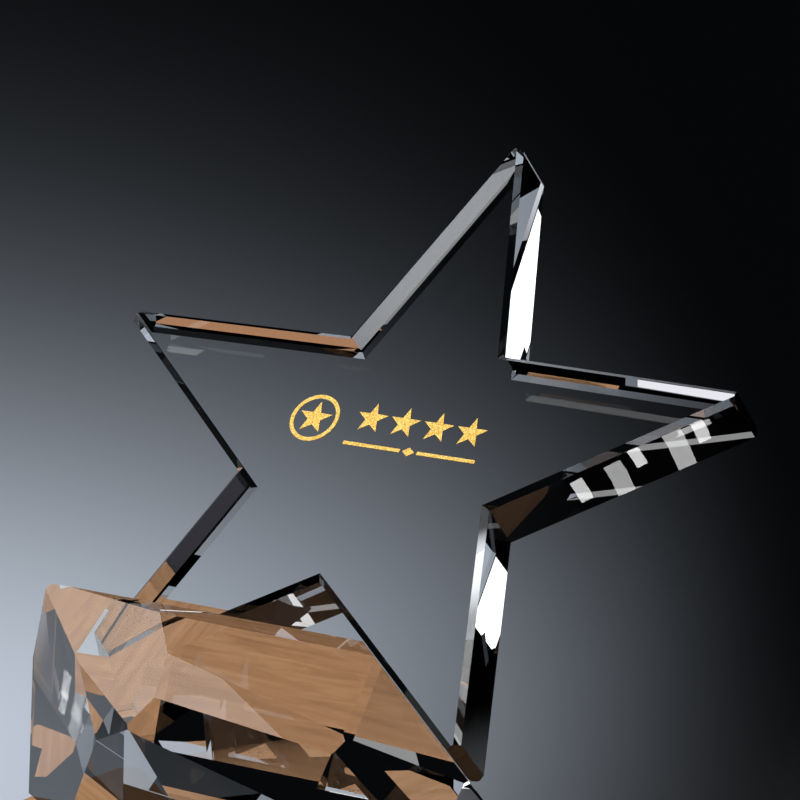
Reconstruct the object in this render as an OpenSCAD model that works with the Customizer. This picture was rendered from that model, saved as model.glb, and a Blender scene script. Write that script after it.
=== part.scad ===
// Star trophy: a clear crystal star leaning back 45 degrees out of a faceted
// crystal base, on a wooden plinth with a felt underside.
// Millimetres, +Z up, X along the star's width, the front faces -Y.
// Origin: middle of the footprint, on the table.

/* [Star] */
// Radius of the circle through the five points
star_r = 100; // [90:1:112]
// Plate thickness
star_t = 17.5; // [15:0.5:18]
// Inner corner radius as a share of the point radius
star_ratio = 0.394; // [0.385:0.003:0.4]
// Lean back from upright, degrees
star_lean = 45; // [44:0.5:46]
// Width of the polished bevel along each edge
star_bevel = 1.5; // [0.8:0.1:1.8]
// Length ground off each point
tip_cut = 5.5; // [4:0.5:8]

/* [Ornament] */
// Depth of the engraved recesses that hold the gold fill
engrave = 0.3; // [0.2:0.05:0.5]
// Gold fill standing proud of the face
proud = 0.05; // [0.03:0.01:0.1]
// Radius of the medallion ring
medal_r = 7; // [6:0.25:7.5]
// Radius of each small star in the row
row_star_r = 4.6; // [4:0.1:4.8]

/* [Base] */
// Height of the star's centre above the crystal base's underside
star_height = 94; // [92:1:98]
// Clear adhesive between the star and its seat
bond = 0.2; // [0.15:0.05:0.3]
// Free gap around the leg in its pocket
pocket_gap = 0.4; // [0.3:0.1:0.8]

/* [Plinth] */
// Plinth width
plinth_w = 162; // [160:1:178]
// Plinth depth
plinth_d = 94; // [92:1:106]
// Plinth thickness
plinth_t = 20; // [16:1:26]
// Rounding of the plinth's upright corners
plinth_corner = 5; // [3:1:8]
// Felt thickness
felt_t = 2; // [1.5:0.5:3]

/* [Hidden] */
film = 0.2;
in_x = star_ratio * star_r * sin(36);
in_y = star_ratio * star_r * cos(36);
edge_a = atan2(in_y - star_r, in_x);
bevel_depth = 1.4;
// footprint middle, seen from the star's centre
foot_x = -1;
foot_y = -37;
centre_z = felt_t + plinth_t + film + star_height;
pocket_floor = 71.6;
seat_cut = 16;
eps = 0.01;
// a point's side faces: turn about the plate's axis and distance from the centre
side_a = 54 - atan2(in_x, star_r - in_y);
side_d = star_r * sin(atan2(in_x, star_r - in_y));

// facets of the crystal base: [compass angle from the front, slope, distance
// from the star's centre]; slope 0 is a level top, 90 an upright wall
FRONT = [[-19, 58, 33.2], [-1, 45, 14.1], [-3.7, 56, 28.5], [-4.5, 67, 43.6], [-7.5, 86, 69.4]];
CROWN = [[-3.7, -9.6, -42.9], [180, 25, -50.1]];
LEFT = [[-33.5, 86, 72.7], [-26, 79, 63], [-90, 90, 82.5], [-80, 70, 66.9], [-18, 96.6, 82.1]];
RIGHT = [[29, 48, 25.5], [19.7, 71.4, 58.8], [14.5, 45.7, 20.2], [8, 70, 53.95], [80, 84, 76], [50, 86, 86]];
REAR = [[180, 74.5, -20], [140, 73, 3], [-140, 72, 5]];

// from the star's own plane (X wide, Y up the star, Z out of its front face) to the trophy
module in_star() {
    translate([-foot_x, -foot_y, centre_z]) rotate([90 - star_lean, 0, 0])
        translate([0, 0, bevel_depth]) children();
}

// half-space beyond a facet
module beyond(f, s = 400) {
    rotate([0, 0, f[0]]) rotate([f[1], 0, 0]) translate([-s / 2, -s / 2, f[2]]) cube([s, s, s]);
}

// bevel along one edge of a point, from the tip to the inner corner; z = 0 face, cutting down
module bevel_cut() {
    intersection() {
        translate([0, star_r, 0]) rotate([0, 0, edge_a]) translate([-20, -star_bevel, 0])
            rotate([-42, 0, 0]) cube([110, 8, 8]);
        translate([0, 0, -12]) linear_extrude(30)
            polygon([[0, 0], [150 * sin(36), 150 * cos(36)], [-150, 150 * cos(36)], [-150, 0]]);
    }
}

// one gold-free star plate: front face at Z = 0, back at -star_t
module star_plate() {
    difference() {
        translate([0, 0, -star_t]) linear_extrude(star_t)
            polygon([for (i = [0:9]) let (q = i % 2 ? star_ratio * star_r : star_r)
                [q * sin(36 * i), q * cos(36 * i)]]);
        for (i = [0:4]) rotate([0, 0, 72 * i]) {
            // the lower left point is ground back to bed in the base's pocket
            translate([-20, star_r - (i == 2 ? seat_cut : tip_cut), -40]) cube([40, 40, 60]);
            for (m = [0, 1]) mirror([m, 0, 0]) {
                bevel_cut();
                translate([0, 0, -star_t]) mirror([0, 0, 1]) bevel_cut();
            }
        }
    }
}

module five_star_2d(r) {
    polygon([for (i = [0:9]) let (q = i % 2 ? r * 0.4 : r) [q * sin(36 * i), q * cos(36 * i)]]);
}

// the gold shapes, in the star's front plane
module ring_2d() { translate([-21.8, 5.8]) difference() { circle(r = medal_r, $fn = 72); circle(r = medal_r - 1.1, $fn = 72); } }
module medal_star_2d() { translate([-21.8, 5.8]) five_star_2d(medal_r - 2); }
module row_star_2d(i) { translate([-5.4 + 9.8 * i, 8]) five_star_2d(row_star_r); }
module rule_left_2d() { translate([-10.5, -0.5]) square([17, 1]); }
module rule_right_2d() { translate([11.5, -0.5]) square([17, 1]); }
module rule_diamond_2d() { translate([9, 0]) polygon([[-1.8, 0], [0, -1.3], [1.8, 0], [0, 1.3]]); }

module fill(z0 = -engrave, z1 = proud) { translate([0, 0, z0]) linear_extrude(z1 - z0) children(); }

module crystal_star() {
    color([0.86, 0.92, 0.94, 0.4]) in_star() difference() {
        star_plate();
        fill(-engrave, 1) ring_2d();
        fill(-engrave, 1) medal_star_2d();
        for (i = [0:3]) fill(-engrave, 1) row_star_2d(i);
        fill(-engrave, 1) rule_left_2d();
        fill(-engrave, 1) rule_right_2d();
        fill(-engrave, 1) rule_diamond_2d();
    }
}

module crystal_base() {
    color([0.8, 0.87, 0.9, 0.45]) difference() {
        translate([-100, -100, centre_z - star_height]) cube([200, 200, 90]);
        translate([-foot_x, -foot_y, centre_z]) for (f = concat(FRONT, CROWN, LEFT, RIGHT, REAR)) beyond(f);
        // the facet under the right leg lies flat along the leg's inner side
        in_star() rotate([0, 0, -side_a]) translate([-200, -side_d - bond, -200]) cube([400, 400, 400]);
        // ground pocket for the left leg
        in_star() translate([0, 0, -star_t - pocket_gap]) linear_extrude(star_t + pocket_gap + bond)
            polygon([[-56.4, -pocket_floor], [-37.9, -12], [0, -12], [0.3, -39.8], [-45, -pocket_floor]]);
    }
}

module seat_bond() {
    color([0.9, 0.93, 0.95, 0.5]) in_star() linear_extrude(bond)
        polygon([[-48.3, -53.8], [-22.5, -53.8], [-44.5, -69.2], [-45.6, -69.6], [-51.6, -64.8]]);
}

module side_bond() {
    color([0.9, 0.93, 0.95, 0.5]) in_star() rotate([0, 0, -side_a]) translate([0, -side_d, 0])
        rotate([90, 0, 0]) linear_extrude(bond) polygon([[40, -15.7], [48.6, -1.7], [87.5, -1.7], [87.5, -15.7]]);
}

module gold() { color([0.85, 0.66, 0.25]) in_star() fill() children(); }
module medallion_ring() { gold() ring_2d(); }
module medallion_star() { gold() medal_star_2d(); }
module row_star_1() { gold() row_star_2d(0); }
module row_star_2() { gold() row_star_2d(1); }
module row_star_3() { gold() row_star_2d(2); }
module row_star_4() { gold() row_star_2d(3); }
module rule_left() { gold() rule_left_2d(); }
module rule_diamond() { gold() rule_diamond_2d(); }
module rule_right() { gold() rule_right_2d(); }

module rounded_2d(w, d, r) {
    square([w - 2 * r, d], center = true);
    square([w, d - 2 * r], center = true);
    for (x = [-1, 1], y = [-1, 1]) translate([x * (w / 2 - r), y * (d / 2 - r)]) circle(r = r, $fn = 48);
}

module plinth_bond() {
    color([0.9, 0.93, 0.95, 0.5]) translate([0, 0, felt_t + plinth_t]) linear_extrude(film)
        translate([-foot_x, -foot_y])
        polygon([[-80, -24], [-80, -39.5], [-57.5, -54.5], [7, -75.5], [46, -80.5], [52.5, -78],
                 [76, -50], [77.5, -42.5], [28.5, 6.5], [-44.5, 6.5]]);
}

module wood_plinth() {
    color([0.62, 0.42, 0.25]) translate([0, 0, felt_t]) union() {
        linear_extrude(plinth_t - 2) rounded_2d(plinth_w, plinth_d, plinth_corner);
        translate([0, 0, plinth_t - 2 - eps]) linear_extrude(2 + eps)
            rounded_2d(plinth_w - 3, plinth_d - 3, plinth_corner);
    }
}

module felt_pad() {
    color([0.12, 0.16, 0.13]) linear_extrude(felt_t) rounded_2d(plinth_w - 8, plinth_d - 8, plinth_corner);
}

crystal_star();
crystal_base();
seat_bond();
side_bond();
medallion_ring();
medallion_star();
row_star_1();
row_star_2();
row_star_3();
row_star_4();
rule_left();
rule_diamond();
rule_right();
plinth_bond();
wood_plinth();
felt_pad();
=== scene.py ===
import math
import random
import bpy
import bmesh
from mathutils import Matrix, Vector


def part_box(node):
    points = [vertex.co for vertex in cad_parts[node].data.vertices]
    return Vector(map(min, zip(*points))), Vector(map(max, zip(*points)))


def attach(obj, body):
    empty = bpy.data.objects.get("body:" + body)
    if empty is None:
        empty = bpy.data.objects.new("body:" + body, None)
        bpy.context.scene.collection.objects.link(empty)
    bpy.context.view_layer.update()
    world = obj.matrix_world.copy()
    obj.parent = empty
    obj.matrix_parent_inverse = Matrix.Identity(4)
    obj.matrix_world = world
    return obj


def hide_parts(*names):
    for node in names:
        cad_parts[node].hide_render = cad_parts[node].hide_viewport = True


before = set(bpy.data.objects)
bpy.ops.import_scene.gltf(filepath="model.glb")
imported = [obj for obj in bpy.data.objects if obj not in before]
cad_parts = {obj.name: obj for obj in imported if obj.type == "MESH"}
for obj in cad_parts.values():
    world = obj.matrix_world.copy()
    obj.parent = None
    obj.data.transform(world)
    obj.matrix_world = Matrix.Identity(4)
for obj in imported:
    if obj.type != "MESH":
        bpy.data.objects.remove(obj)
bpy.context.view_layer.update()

BODY = "root"
GOLD_NODES = ["medallion_ring", "medallion_star", "row_star_1", "row_star_2", "row_star_3",
              "row_star_4", "rule_left", "rule_diamond", "rule_right"]

# the star's centre, from the middle of the rule's diamond, which sits 9 mm to its right on the front face
STAR_R = 0.100
LEAN = math.radians(45)
DIAMOND_OFF = 0.009
DIAMOND_OUT = 0.001275 * math.sqrt(0.5)
DIAMOND_LOW, DIAMOND_HIGH = (Vector(corner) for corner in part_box("rule_diamond"))
STAR_CENTRE = (DIAMOND_LOW + DIAMOND_HIGH) / 2 - Vector((DIAMOND_OFF, -DIAMOND_OUT, DIAMOND_OUT))

FACE_OUT = 0.0014      # the front face stands this far in front of the star's centre plane
FILM = 0.0002          # thickness of the clear adhesive
SKIN = 0.00002         # how far the seat's opening reaches past the adhesive
SAME = 1e-6            # vertices closer than this are one
FLAT = math.radians(0.3)

# the seat's outline in the star's plane, and the bubbles trapped in its adhesive
SEAT = [(-0.0483, -0.0538), (-0.0225, -0.0538), (-0.0445, -0.0692), (-0.0456, -0.0696), (-0.0516, -0.0648)]
BUBBLES = 150
BUBBLE_MIDDLE, BUBBLE_SPREAD = (-0.0405, -0.0590), (0.0050, 0.0032)
BUBBLE_MIN, BUBBLE_MAX = 0.00007, 0.00020

# the key softbox stands off along KEY_AXIS, shifted across it and down
CARD_DISTANCE = 1.2
KEY_SIZE = (0.79, 0.325)
KEY_SHIFT = (-0.305, -0.0975)
KEY_AXIS = Vector((-0.67, -0.55, 0.49)).normalized()
KEY_ACROSS = Vector((0, 0, 1)).cross(KEY_AXIS).normalized()
KEY_UP = KEY_AXIS.cross(KEY_ACROSS)
KEY = STAR_CENTRE + CARD_DISTANCE * KEY_AXIS + KEY_SHIFT[0] * KEY_ACROSS + KEY_SHIFT[1] * KEY_UP
CARD_LIFT = 0.003      # the cards lie this far above the floor

# small bright cards under the right arm: x, y, width, radiance
GLINT_HEIGHT = 0.030
GLINT_AIM = Vector((-0.028, -0.014, 0.095))
GLINTS = [(0.080, 0.0535, 0.008, 8.0), (0.089, 0.0600, 0.011, 5.0), (0.097, 0.0600, 0.007, 9.0),
          (0.106, 0.0680, 0.012, 5.5), (0.114, 0.0690, 0.008, 8.5)]

# the camera: its lens in millimetres, its place in star radii from the star's centre, and its direction
LENS, SENSOR = 180, 36
VIEW_FROM = Vector((5.302, -8.232, 2.402))
VIEW_AZIMUTH, VIEW_ELEVATION = math.radians(32.49), math.radians(13.06)

# ---------------------------------------------------------------- materials

def new_material(name):
    m = bpy.data.materials.new(name)
    m.use_nodes = True
    nt = m.node_tree
    return m, nt, nt.nodes["Principled BSDF"]


def crystal_material(name, tint=(0.985, 0.993, 1.0), ior=1.53, roughness=0.0):
    m, nt, p = new_material(name)
    p.inputs["Base Color"].default_value = (*tint, 1)
    p.inputs["Roughness"].default_value = roughness
    p.inputs["IOR"].default_value = ior
    p.inputs["Transmission Weight"].default_value = 1.0
    return m


def bubble_material(name):
    m, nt, p = new_material(name)
    p.inputs["Base Color"].default_value = (0.95, 0.95, 0.95, 1)
    p.inputs["Metallic"].default_value = 1.0
    p.inputs["Roughness"].default_value = 0.15
    return m


def gold_material(name):
    m, nt, p = new_material(name)
    p.inputs["Metallic"].default_value = 1.0
    p.inputs["Roughness"].default_value = 0.3
    noise = nt.nodes.new("ShaderNodeTexNoise")
    noise.inputs["Scale"].default_value = 2600
    noise.inputs["Detail"].default_value = 3
    coord = nt.nodes.new("ShaderNodeTexCoord")
    nt.links.new(coord.outputs["Object"], noise.inputs["Vector"])
    ramp = nt.nodes.new("ShaderNodeValToRGB")
    ramp.color_ramp.elements[0].position = 0.35
    ramp.color_ramp.elements[0].color = (0.55, 0.30, 0.04, 1)
    ramp.color_ramp.elements[1].position = 0.65
    ramp.color_ramp.elements[1].color = (1.0, 0.72, 0.22, 1)
    nt.links.new(noise.outputs["Fac"], ramp.inputs["Fac"])
    nt.links.new(ramp.outputs["Color"], p.inputs["Base Color"])
    bump = nt.nodes.new("ShaderNodeBump")
    bump.inputs["Strength"].default_value = 0.5
    bump.inputs["Distance"].default_value = 0.0001
    nt.links.new(noise.outputs["Fac"], bump.inputs["Height"])
    nt.links.new(bump.outputs["Normal"], p.inputs["Normal"])
    return m


def wood_material(name):
    m, nt, p = new_material(name)
    coord = nt.nodes.new("ShaderNodeTexCoord")
    stretch = nt.nodes.new("ShaderNodeMapping")
    stretch.inputs["Scale"].default_value = (10, 110, 110)
    nt.links.new(coord.outputs["Object"], stretch.inputs["Vector"])
    grain = nt.nodes.new("ShaderNodeTexNoise")
    grain.inputs["Scale"].default_value = 4.0
    grain.inputs["Detail"].default_value = 8
    grain.inputs["Roughness"].default_value = 0.62
    grain.inputs["Distortion"].default_value = 0.6
    nt.links.new(stretch.outputs["Vector"], grain.inputs["Vector"])
    ramp = nt.nodes.new("ShaderNodeValToRGB")
    e = ramp.color_ramp.elements
    e[0].position = 0.30
    e[0].color = (0.42, 0.21, 0.095, 1)
    e[1].position = 0.70
    e[1].color = (0.68, 0.38, 0.19, 1)
    mid = e.new(0.5)
    mid.color = (0.56, 0.29, 0.135, 1)
    nt.links.new(grain.outputs["Fac"], ramp.inputs["Fac"])
    nt.links.new(ramp.outputs["Color"], p.inputs["Base Color"])
    p.inputs["Roughness"].default_value = 0.55
    pores = nt.nodes.new("ShaderNodeTexNoise")
    pores.inputs["Scale"].default_value = 4.0
    pores.inputs["Detail"].default_value = 2
    nt.links.new(stretch.outputs["Vector"], pores.inputs["Vector"])
    bump = nt.nodes.new("ShaderNodeBump")
    bump.inputs["Strength"].default_value = 0.10
    bump.inputs["Distance"].default_value = 0.0002
    nt.links.new(pores.outputs["Fac"], bump.inputs["Height"])
    nt.links.new(bump.outputs["Normal"], p.inputs["Normal"])
    return m


def felt_material(name):
    m, nt, p = new_material(name)
    p.inputs["Base Color"].default_value = (0.02, 0.025, 0.022, 1)
    p.inputs["Roughness"].default_value = 0.95
    p.inputs["Sheen Weight"].default_value = 0.4
    noise = nt.nodes.new("ShaderNodeTexNoise")
    noise.inputs["Scale"].default_value = 900
    noise.inputs["Detail"].default_value = 4
    bump = nt.nodes.new("ShaderNodeBump")
    bump.inputs["Strength"].default_value = 0.8
    bump.inputs["Distance"].default_value = 0.0005
    nt.links.new(noise.outputs["Fac"], bump.inputs["Height"])
    nt.links.new(bump.outputs["Normal"], p.inputs["Normal"])
    return m


def floor_material(name):
    m, nt, p = new_material(name)
    p.inputs["Base Color"].default_value = (0.72, 0.74, 0.78, 1)
    p.inputs["Roughness"].default_value = 0.8
    p.inputs["Specular IOR Level"].default_value = 0.0
    return m


# ---------------------------------------------------------------- pieces

def plane_frame():
    """From the star's own plane (X wide, Y up the star, Z out of its front face) to the trophy."""
    lean = Matrix.Rotation(LEAN, 4, "X")
    return Matrix.Translation(STAR_CENTRE) @ lean @ Matrix.Translation((0, 0, FACE_OUT))


def add_piece(name, bm, materials, node):
    mesh = bpy.data.meshes.new(name)
    bm.to_mesh(mesh)
    bm.free()
    for m in materials:
        mesh.materials.append(m)
    obj = bpy.data.objects.new(name, mesh)
    bpy.context.collection.objects.link(obj)
    if node:
        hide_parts(node)
    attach(obj, BODY)
    return obj


def prism(points, z0, z1):
    """A closed prism over the points, in the star's plane, as a loose object for cutting."""
    bm = bmesh.new()
    face = bm.faces.new([bm.verts.new((x, y, z0)) for x, y in points])
    top = bmesh.ops.extrude_face_region(bm, geom=[face])["geom"]
    for v in (g for g in top if isinstance(g, bmesh.types.BMVert)):
        v.co.z = z1
    bmesh.ops.recalc_face_normals(bm, faces=bm.faces)
    bm.transform(plane_frame())
    mesh = bpy.data.meshes.new("cutter")
    bm.to_mesh(mesh)
    bm.free()
    obj = bpy.data.objects.new("cutter", mesh)
    bpy.context.collection.objects.link(obj)
    return obj


def cut_stone(node, name, material, window=None):
    """A crystal piece on the CAD node's own facets. window = (points, z0, z1, zfloor): a place where the
    adhesive joins it to its neighbour with no surface between, opened in the star's plane."""
    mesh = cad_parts[node].data.copy()
    obj = bpy.data.objects.new(name, mesh)
    bpy.context.collection.objects.link(obj)
    if window:
        points, z0, z1, floor = window
        cutter = prism(points, z0, z1)
        mod = obj.modifiers.new("window", "BOOLEAN")
        mod.operation = "DIFFERENCE"
        mod.object = cutter
        mod.solver = "EXACT"
        graph = bpy.context.evaluated_depsgraph_get()
        mesh = bpy.data.meshes.new_from_object(obj.evaluated_get(graph))
        obj.modifiers.clear()
        obj.data = mesh
        bpy.data.objects.remove(cutter)
    bm = bmesh.new()
    bm.from_mesh(mesh)
    bmesh.ops.remove_doubles(bm, verts=bm.verts, dist=SAME)
    bmesh.ops.dissolve_limit(bm, angle_limit=FLAT, verts=bm.verts, edges=bm.edges)
    if window:
        back = plane_frame().inverted()
        gone = [f for f in bm.faces if all(abs((back @ v.co).z - floor) < 4e-6 for v in f.verts)]
        bmesh.ops.delete(bm, geom=gone, context="FACES")
    for f in bm.faces:
        f.smooth = False
        f.material_index = 0
    bm.to_mesh(mesh)
    bm.free()
    mesh.name = name
    mesh.materials.clear()
    mesh.materials.append(material)
    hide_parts(node)
    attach(obj, BODY)
    return obj


def seat_film(material, bubble_material):
    """The clear adhesive of the seat: its rim, with fine bubbles trapped in it."""
    rnd = random.Random(7)
    bm = bmesh.new()
    low = [bm.verts.new((x, y, 0.0)) for x, y in SEAT]
    top = [bm.verts.new((x, y, FILM)) for x, y in SEAT]
    for i in range(len(SEAT)):
        j = (i + 1) % len(SEAT)
        bm.faces.new((low[i], low[j], top[j], top[i]))
    for k in range(BUBBLES):
        x = rnd.gauss(BUBBLE_MIDDLE[0], BUBBLE_SPREAD[0])
        y = rnd.gauss(BUBBLE_MIDDLE[1], BUBBLE_SPREAD[1])
        if not inside(x, y, SEAT):
            continue
        ball = bmesh.ops.create_icosphere(bm, subdivisions=1, radius=rnd.uniform(BUBBLE_MIN, BUBBLE_MAX),
                                          matrix=Matrix.Translation((x, y, FILM / 2)))
        for f in {f for v in ball["verts"] for f in v.link_faces}:
            f.material_index = 1
            f.smooth = True
    bm.transform(plane_frame())
    return add_piece("seat_adhesive", bm, [material, bubble_material], "seat_bond")


def inside(x, y, points):
    hit = False
    for (ax, ay), (bx, by) in zip(points, points[1:] + points[:1]):
        if (ay > y) != (by > y) and x < ax + (y - ay) * (bx - ax) / (by - ay):
            hit = not hit
    return hit


def bead(node, name, material, width=0.0012, clear=0.00003):
    """A flat adhesive joint shown as the fine bead round its edge, just clear of both polished faces."""
    bm = bmesh.new()
    bm.from_mesh(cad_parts[node].data)
    bmesh.ops.remove_doubles(bm, verts=bm.verts, dist=SAME)
    bmesh.ops.dissolve_limit(bm, angle_limit=FLAT, verts=bm.verts, edges=bm.edges)
    big = sorted(bm.faces, key=lambda f: f.calc_area())[-1]
    n = big.normal.copy()
    outer = [v.co.copy() for v in big.verts]
    bm.free()
    mid = sum(outer, Vector()) / len(outer)
    inner = [p + (mid - p).normalized() * width * 1.5 for p in outer]
    bm = bmesh.new()
    rings = []
    for points, z in ((outer, clear), (inner, clear), (inner, FILM - clear), (outer, FILM - clear)):
        rings.append([bm.verts.new(p - n * z) for p in points])
    for a, b in zip(rings, rings[1:] + rings[:1]):
        for i in range(len(outer)):
            j = (i + 1) % len(outer)
            bm.faces.new((a[i], a[j], b[j], b[i]))
    bmesh.ops.recalc_face_normals(bm, faces=bm.faces)
    return add_piece(name, bm, [material], node)


def paint(node, material):
    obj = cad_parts[node]
    obj.data.materials.clear()
    obj.data.materials.append(material)
    return obj


# ---------------------------------------------------------------- studio

def group(name, objects):
    c = bpy.data.collections.new(name)
    for o in objects:
        c.objects.link(o)
    return c


def area_light(name, place, aim, size, radiance, size_y=None, colour=(1, 1, 1), lights=None, shadows=None):
    """A softbox of a given radiance, hidden from the camera, that lights only the group it is meant for."""
    data = bpy.data.lights.new(name, "AREA")
    data.shape = "RECTANGLE"
    data.size = size
    data.size_y = size_y or size
    data.energy = radiance * math.pi * data.size * data.size_y
    data.color = colour
    return place_light(name, data, place, aim, lights, shadows)


def spot_light(name, place, aim, half_angle, intensity, colour=(1, 1, 1), lights=None, shadows=None):
    """A soft-edged spot of a given intensity along its axis."""
    data = bpy.data.lights.new(name, "SPOT")
    data.spot_size = math.radians(2 * half_angle)
    data.spot_blend = 1.0
    data.shadow_soft_size = 0.03
    data.energy = intensity * 4 * math.pi
    data.color = colour
    return place_light(name, data, place, aim, lights, shadows)


def place_light(name, data, place, aim, lights, shadows):
    obj = bpy.data.objects.new(name, data)
    bpy.context.collection.objects.link(obj)
    obj.location = place
    obj.rotation_euler = (Vector(aim) - Vector(place)).to_track_quat("-Z", "Y").to_euler()
    obj.visible_camera = False
    obj.light_linking.receiver_collection = lights
    obj.light_linking.blocker_collection = shadows
    return obj


def at(azimuth, elevation, distance):
    """A place seen from the star's centre: azimuth 0 is straight in front (-Y), 90 to the right (+X)."""
    a, e = math.radians(azimuth), math.radians(elevation)
    way = Vector((math.sin(a) * math.cos(e), -math.cos(a) * math.cos(e), math.sin(e)))
    return STAR_CENTRE + distance * way


def card(name, x0, x1, y0, y1, glow=None):
    """A card lying on the table out of the camera's sight: black, as painted shadow on the table for the
    crystal's edges to pick up, or glowing faintly in a colour, as a painted reflection for the crystal to
    pick up."""
    bm = bmesh.new()
    bm.faces.new([bm.verts.new((x, y, CARD_LIFT)) for x, y in ((x0, y0), (x1, y0), (x1, y1), (x0, y1))])
    mesh = bpy.data.meshes.new(name)
    bm.to_mesh(mesh)
    bm.free()
    m, nt, p = new_material(name)
    # black: painted shade, standing in for shadow on the table as the crystal's edges see it
    p.inputs["Base Color"].default_value = (0.004, 0.004, 0.005, 1)
    p.inputs["Roughness"].default_value = 1.0
    p.inputs["Specular IOR Level"].default_value = 0.0
    # the glow is painted light: a glowing sheet, not a lamp, that the crystal shows as a painted reflection
    if glow:
        p.inputs["Emission Color"].default_value = (*glow, 1)
        p.inputs["Emission Strength"].default_value = 1.0
    mesh.materials.append(m)
    obj = bpy.data.objects.new(name, mesh)
    bpy.context.collection.objects.link(obj)
    obj.visible_camera = obj.visible_diffuse = obj.visible_shadow = False


def pale_floor():
    mesh = bpy.data.meshes.new("floor")
    bm = bmesh.new()
    bmesh.ops.create_grid(bm, x_segments=8, y_segments=8, size=6.0)
    bm.to_mesh(mesh)
    bm.free()
    mesh.materials.append(floor_material("pale_floor"))
    floor = bpy.data.objects.new("floor", mesh)
    bpy.context.collection.objects.link(floor)
    return floor


def dark_world():
    """Almost no light from outside the softboxes."""
    world = bpy.data.worlds.new("studio")
    bpy.context.scene.world = world
    world.use_nodes = True
    bg = world.node_tree.nodes["Background"]
    bg.inputs["Color"].default_value = (0.0022, 0.0025, 0.0030, 1)


def softboxes(trophy):
    """Seen in the crystal: the key at the front left, dimmer cards at the left, right and behind above."""
    area_light("key", KEY, KEY - KEY_AXIS, KEY_SIZE[0], 2.2, KEY_SIZE[1], lights=trophy)
    area_light("left_card", at(-110, 17, CARD_DISTANCE), STAR_CENTRE, 0.6, 0.30, 0.55, lights=trophy)
    area_light("front_card", at(50, 8, CARD_DISTANCE), STAR_CENTRE, 0.4, 0.25, 0.3, lights=trophy)
    area_light("high_card", at(-170, 66, 1.1), STAR_CENTRE, 0.6, 0.5, 0.5, lights=trophy)


def glints(star):
    """Small bright cards that only the star picks up, for the glints in its bevels."""
    area_light("glint_left", at(-31, 36, CARD_DISTANCE), STAR_CENTRE, 0.3, 1.4, lights=star)
    area_light("glint_right", at(127, 44, CARD_DISTANCE), STAR_CENTRE, 0.5, 1.2, lights=star)
    area_light("glint_low", at(-33, 4, CARD_DISTANCE), STAR_CENTRE, 0.3, 1.0, lights=star)
    for k, (x, y, wide, radiance) in enumerate(GLINTS):
        place = Vector((x, y, GLINT_HEIGHT))
        area_light("glint_arm_%d" % k, place, place + GLINT_AIM, wide, radiance, 0.45 * wide, lights=star)


def surface_lights(plinth, gold):
    """Overhead light on the wood, and a sheen light for the gold."""
    area_light("wood_light", (0.1, -0.1, 1.2), (0, 0, 0), 1.0, 4.0, lights=plinth, shadows=plinth)
    area_light("gold_light", at(-66.6, 55, 0.9), STAR_CENTRE, 0.4, 2.0, lights=gold, shadows=gold)


def floor_lights(ground, plinth):
    """A soft pool that fades to the right and to the back, and two pools outside the picture."""
    spot_light("floor_fade", (0.090, 0.129, 0.444), (-3.356, -1.254, 0.0), 79.3, 1.61, (0.851, 0.921, 1.0),
               lights=ground, shadows=plinth)
    spot_light("right_pool", (0.22, 0.27, 1.0), (0.22, 0.27, 0.0), 10, 1.5, lights=ground, shadows=plinth)
    spot_light("left_pool", (-1.10, 0.58, 1.0), (-1.10, 0.58, 0.0), 22, 4.0, lights=ground, shadows=plinth)


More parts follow.
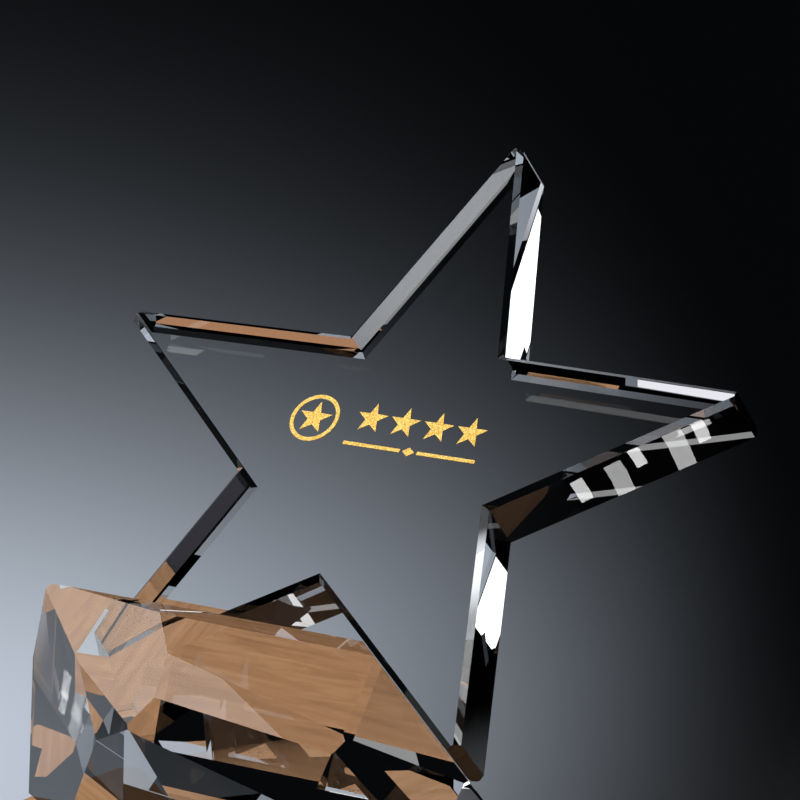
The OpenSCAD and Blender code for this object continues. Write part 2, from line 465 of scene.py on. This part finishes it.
def painted_shade_and_glow_cards():
    """Cards for the crystal's edges: black ones as painted shadow on the table, a faint grey glowing one, a
    warm glowing one beside the plinth as a painted warm reflection for the left arm, and a bright glowing
    line as a painted highlight for the right arm."""
    # black cards: painted shadow on the table, for the crystal's edges to pick up
    card("card_near", -0.215, -0.128, 0.125, 0.190)
    card("card_left", -0.900, -0.221, 0.240, 0.290)
    card("card_far", -0.900, -0.330, 0.290, 0.360)
    card("card_behind", -0.090, -0.030, 0.060, 0.098)
    card("card_leg", -0.085, -0.067, 0.138, 0.160)
    # a faint grey glow: painted dim light on the table for the crystal's edges
    card("card_leg_far", 0.050, 0.095, 0.090, 0.133, (0.035, 0.035, 0.042))
    card("card_arm", -0.060, 0.030, 0.1030, 0.110)
    card("card_arm_left", -0.060, -0.016, 0.0985, 0.1030)
    # a bright glowing line: painted highlight for the right arm's edge
    card("bright_glow_line", -0.012, 0.030, 0.0985, 0.1028, (0.9, 0.9, 0.95))
    card("card_front", -0.140, -0.080, -0.180, -0.140)
    # a warm glowing card: painted warm reflection for the left arm
    card("warm_glow_card", -0.190, -0.100, 0.090, 0.1035, (0.42, 0.215, 0.115))


def studio(pieces):
    floor = pale_floor()
    dark_world()
    bpy.context.scene.view_settings.view_transform = "Standard"
    trophy = group("trophy", pieces)
    star = group("star_only", [pieces[0]])
    ground = group("ground", [floor])
    plinth = group("plinth", [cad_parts["wood_plinth"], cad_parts["felt_pad"]])
    gold = group("gold", [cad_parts[n] for n in GOLD_NODES])
    softboxes(trophy)
    glints(star)
    surface_lights(plinth, gold)
    floor_lights(ground, plinth)
    # hidden cards: painted shadow and painted glows for the crystal's edges
    painted_shade_and_glow_cards()


def camera():
    """Long lens, level, a little above the trophy and round to its right."""
    data = bpy.data.cameras.new("camera")
    data.lens = LENS
    data.sensor_width = SENSOR
    data.clip_start, data.clip_end = 0.01, 50
    obj = bpy.data.objects.new("camera", data)
    bpy.context.collection.objects.link(obj)
    obj.location = STAR_CENTRE + STAR_R * VIEW_FROM
    obj.rotation_euler = (math.pi / 2 - VIEW_ELEVATION, 0, VIEW_AZIMUTH)
    bpy.context.scene.camera = obj


def build():
    crystal = crystal_material("clear_crystal")
    pieces = [cut_stone("crystal_star", "star", crystal, (SEAT, -SKIN, 0.005, -SKIN)),
              cut_stone("crystal_base", "base", crystal, (SEAT, 0.0, FILM + SKIN, FILM + SKIN)),
              seat_film(crystal, bubble_material("bubbles")),
              bead("side_bond", "side_adhesive", crystal),
              bead("plinth_bond", "plinth_adhesive", crystal)]
    gold = gold_material("gold_fill")
    pieces += [paint(n, gold) for n in GOLD_NODES]
    pieces.append(paint("wood_plinth", wood_material("plinth_wood")))
    pieces.append(paint("felt_pad", felt_material("felt")))
    return pieces


studio(build())
camera()
